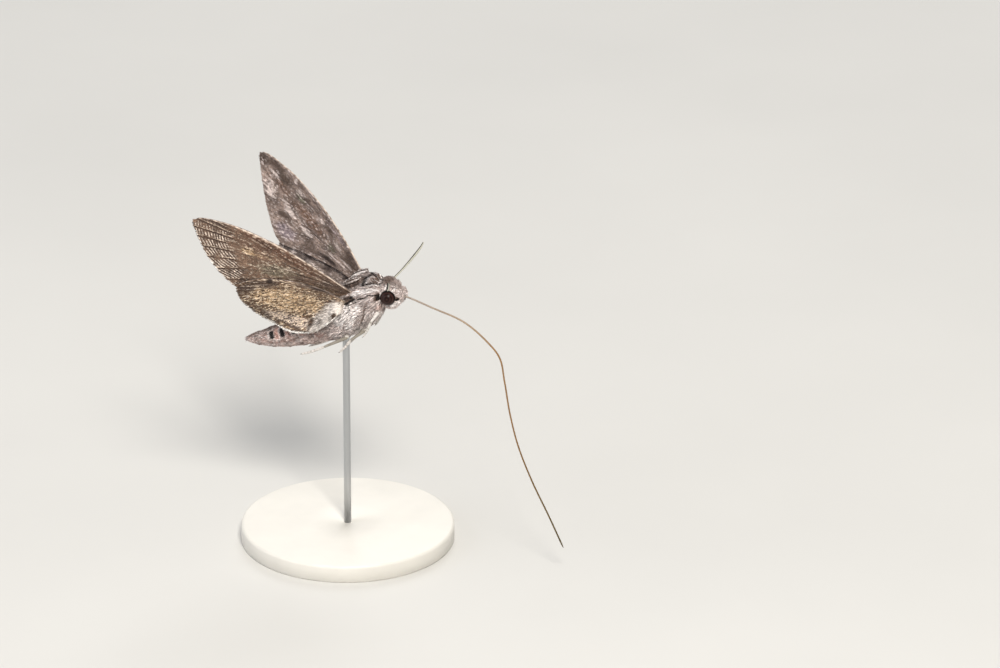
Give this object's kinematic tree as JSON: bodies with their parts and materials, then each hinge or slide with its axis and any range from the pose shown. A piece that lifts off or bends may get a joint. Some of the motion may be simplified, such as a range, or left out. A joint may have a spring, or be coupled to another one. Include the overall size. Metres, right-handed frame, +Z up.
{
  "type": "convolvulus hawk moth on display stand",
  "caption": "Hawk moth in hovering flight, wings raised and long proboscis stretched down to feed, held at life size on a rod over a round base.",
  "frame": {"origin": "centre of the display stand's flat underside, on the floor", "axes": "+X the way the moth's head points, +Y to the moth's left, +Z up"},
  "size_m": [0.1023, 0.06, 0.105],
  "materials": {
    "grey_fur": "dense scaly fur, pale pinkish grey",
    "dark_fur": "dense scaly fur, grey brown",
    "pale_fur": "dense scaly fur, cream",
    "eye": "smooth dark facets under a clear cornea",
    "upper_wing": "matt scales on a thin membrane",
    "under_wing": "matt scales on a thin membrane",
    "leg": "scaled chitin, pale",
    "feeler": "scaled chitin, pale greenish cream",
    "tongue": "smooth ringed chitin, brown",
    "stand": "satin pale grey plastic",
    "rod": "fine brushed"
  },
  "bodies": {
    "root": {"abdomen_tip": "pale_fur", "abdomen": "grey_fur", "thorax": "grey_fur", "collar": "dark_fur", "head": "pale_fur", "proboscis_base": "tongue", "proboscis_middle": "tongue", "proboscis_end": "tongue", "stand_rod": "rod", "stand_base": "stand", "eye_left": "eye", "palp_left": "pale_fur", "antenna_left": "feeler", "tegula_left": "dark_fur", "forewing_left": "upper_wing", "hindwing_left": "under_wing", "leg_front_left": "leg", "leg_middle_left": "leg", "leg_hind_left": "leg", "eye_right": "eye", "palp_right": "pale_fur", "antenna_right": "feeler", "tegula_right": "dark_fur", "forewing_right": "upper_wing", "hindwing_right": "under_wing", "leg_front_right": "leg", "leg_middle_right": "leg", "leg_hind_right": "leg"}
  },
  "joints": []
}
